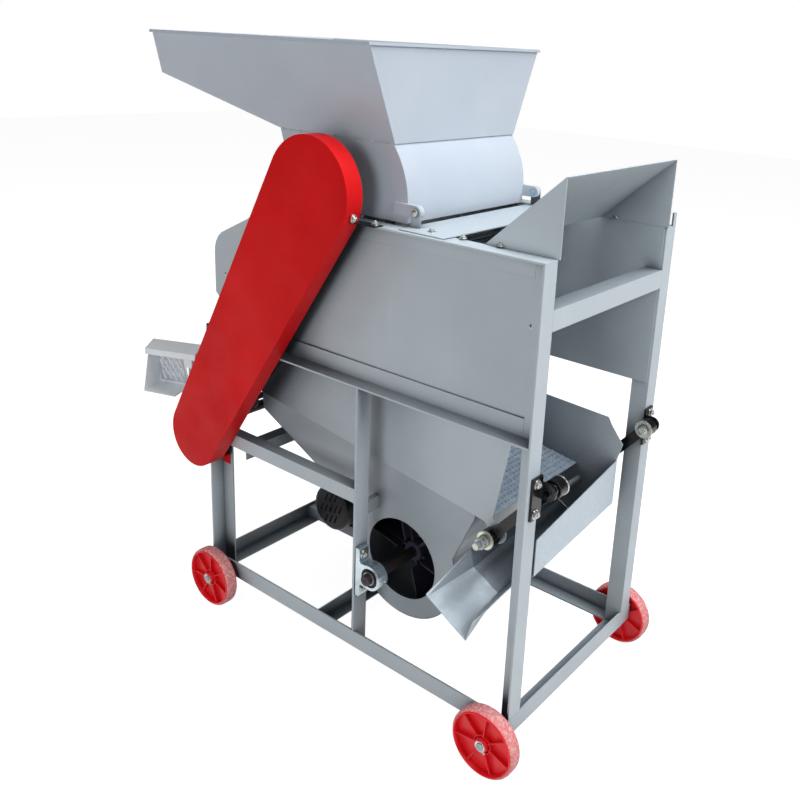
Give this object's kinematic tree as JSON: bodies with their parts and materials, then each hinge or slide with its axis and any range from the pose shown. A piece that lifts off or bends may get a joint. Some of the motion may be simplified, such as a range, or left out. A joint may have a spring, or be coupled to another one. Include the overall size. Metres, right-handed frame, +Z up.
{
  "type": "peanut sheller",
  "caption": "Wheeled peanut sheller: hinged feed hopper over a beater rotor and grate, winnowing fan, hanging vibrating sieve with trough and chute, belt drive.",
  "frame": {"origin": "on the ground under the centre of the bounding box", "axes": "+X along the machine to the husk outlet, -Y to the near side with the belt guard and spouts, +Z up"},
  "size_m": [1.202, 0.611, 1.391],
  "materials": {
    "silver_paint": "satin silver-grey paint",
    "hopper_paint": "satin silver paint, lighter inside",
    "galvanised": "galvanised sheet",
    "guard_red": "matte red paint",
    "wheel_red": "red plastic, dusty tread",
    "black_paint": "satin black paint",
    "zinc": "zinc plated",
    "bare_steel": "machined steel",
    "rubber": "matte black rubber"
  },
  "bodies": {
    "frame": {"bottom_frame": "silver_paint", "post_left_near": "silver_paint", "post_left_far": "silver_paint", "post_mid_near": "silver_paint", "post_mid_far": "silver_paint", "post_right_near": "silver_paint", "post_right_far": "silver_paint", "mid_frame": "silver_paint", "casing_rail_near": "silver_paint", "casing_rail_far": "silver_paint", "top_rail_near": "silver_paint", "top_rail_far": "silver_paint", "upper_end_rail": "silver_paint", "casing_panel_near": "silver_paint", "casing_panel_far": "silver_paint", "casing_end_sheet": "silver_paint", "husk_hood": "silver_paint", "hinge_plate": "silver_paint", "hinge_bolt_near": "zinc", "hinge_bolt_far": "zinc", "concave_grate": "bare_steel", "rotor_bearing_near": "zinc", "rotor_bearing_far": "zinc", "sieve_belt": "rubber", "drive_belt": "rubber", "fan_belt": "rubber", "belt_guard": "guard_red", "eccentric_bearing_near": "black_paint", "eccentric_bearing_far": "black_paint", "pivot_bracket_left_near": "black_paint", "pivot_bracket_left_far": "black_paint", "pivot_bracket_right_near": "black_paint", "pivot_bracket_right_far": "black_paint", "fan_housing": "silver_paint", "fan_bearing_near": "zinc", "fan_bearing_far": "zinc", "motor": "black_paint"},
    "cover": {"drum_cover": "hopper_paint", "feed_hopper": "hopper_paint"},
    "rotor": {"rotor": "bare_steel", "rotor_pulley_near": "bare_steel", "rotor_pulley_far": "bare_steel"},
    "eccentric": {"eccentric_shaft": "black_paint", "eccentric_pulley": "bare_steel"},
    "fan": {"fan_rotor": "black_paint", "fan_pulley": "bare_steel"},
    "motor_drive": {"motor_pulley": "bare_steel"},
    "sieve": {"sieve_box": "silver_paint", "sieve_deck": "galvanised", "discharge_trough": "galvanised", "kernel_chute": "galvanised", "connecting_rod": "black_paint"},
    "arm_left_near": {"swing_arm_left_near": "black_paint"},
    "arm_left_far": {"swing_arm_left_far": "black_paint"},
    "arm_right_near": {"swing_arm_right_near": "black_paint"},
    "arm_right_far": {"swing_arm_right_far": "black_paint"},
    "wheel_left_near": {"wheel_left_near": "wheel_red"},
    "wheel_left_far": {"wheel_left_far": "wheel_red"},
    "wheel_right_near": {"wheel_right_near": "wheel_red"},
    "wheel_right_far": {"wheel_right_far": "wheel_red"}
  },
  "joints": [
    {"name": "cover_swing", "type": "hinge", "parent": "frame", "child": "cover", "pos_m": [0.236, -0.0015, 1.0843], "axis": [0, 1, 0], "range_deg": [0, 75]},
    {"name": "rotor_spin", "type": "hinge", "parent": "frame", "child": "rotor", "pos_m": [0.022, -0.0015, 1.0893], "axis": [0, 1, 0], "continuous": true},
    {"name": "eccentric_spin", "type": "hinge", "parent": "frame", "child": "eccentric", "pos_m": [-0.3893, -0.0015, 0.461], "axis": [0, 1, 0], "continuous": true},
    {"name": "fan_spin", "type": "hinge", "parent": "frame", "child": "fan", "pos_m": [0.1773, -0.0015, 0.277], "axis": [0, 1, 0], "continuous": true},
    {"name": "motor_spin", "type": "hinge", "parent": "frame", "child": "motor_drive", "pos_m": [-0.211, -0.0015, 0.188], "axis": [0, 1, 0], "continuous": true},
    {"name": "arm_swing", "type": "hinge", "parent": "frame", "child": "arm_right_near", "pos_m": [0.579, -0.1885, 0.618], "axis": [0, 1, 0], "range_deg": [-2.5, 2.5], "stiffness_Nm_per_rad": 4000},
    {"name": "sieve_level", "type": "hinge", "parent": "arm_right_near", "child": "sieve", "pos_m": [0.439, -0.1885, 0.456], "axis": [0, 1, 0], "range_deg": [-3, 3]},
    {"name": "arm_swing_right_far", "type": "hinge", "parent": "frame", "child": "arm_right_far", "pos_m": [0.579, 0.1855, 0.618], "axis": [0, 1, 0], "range_deg": [-3, 3]},
    {"name": "arm_swing_left_near", "type": "hinge", "parent": "frame", "child": "arm_left_near", "pos_m": [-0.171, -0.1885, 0.691], "axis": [0, 1, 0], "range_deg": [-3, 3]},
    {"name": "arm_swing_left_far", "type": "hinge", "parent": "frame", "child": "arm_left_far", "pos_m": [-0.171, 0.1855, 0.691], "axis": [0, 1, 0], "range_deg": [-3, 3]},
    {"name": "wheel_spin_left_near", "type": "hinge", "parent": "frame", "child": "wheel_left_near", "pos_m": [-0.328, -0.2825, 0.075], "axis": [0, 1, 0], "continuous": true},
    {"name": "wheel_spin_left_far", "type": "hinge", "parent": "frame", "child": "wheel_left_far", "pos_m": [-0.328, 0.2795, 0.075], "axis": [0, 1, 0], "continuous": true},
    {"name": "wheel_spin_right_near", "type": "hinge", "parent": "frame", "child": "wheel_right_near", "pos_m": [0.526, -0.2825, 0.075], "axis": [0, 1, 0], "continuous": true},
    {"name": "wheel_spin_right_far", "type": "hinge", "parent": "frame", "child": "wheel_right_far", "pos_m": [0.526, 0.2795, 0.075], "axis": [0, 1, 0], "continuous": true}
  ],
  "couplings": [
    {"joint": "eccentric_spin", "follows": "rotor_spin", "ratio": 2.0952},
    {"joint": "motor_spin", "follows": "rotor_spin", "ratio": 2.8},
    {"joint": "fan_spin", "follows": "rotor_spin", "ratio": 2.0364},
    {"joint": "sieve_level", "follows": "arm_swing", "ratio": -1},
    {"joint": "arm_swing_right_far", "follows": "arm_swing", "ratio": 1},
    {"joint": "arm_swing_left_near", "follows": "arm_swing", "ratio": 1},
    {"joint": "arm_swing_left_far", "follows": "arm_swing", "ratio": 1}
  ]
}
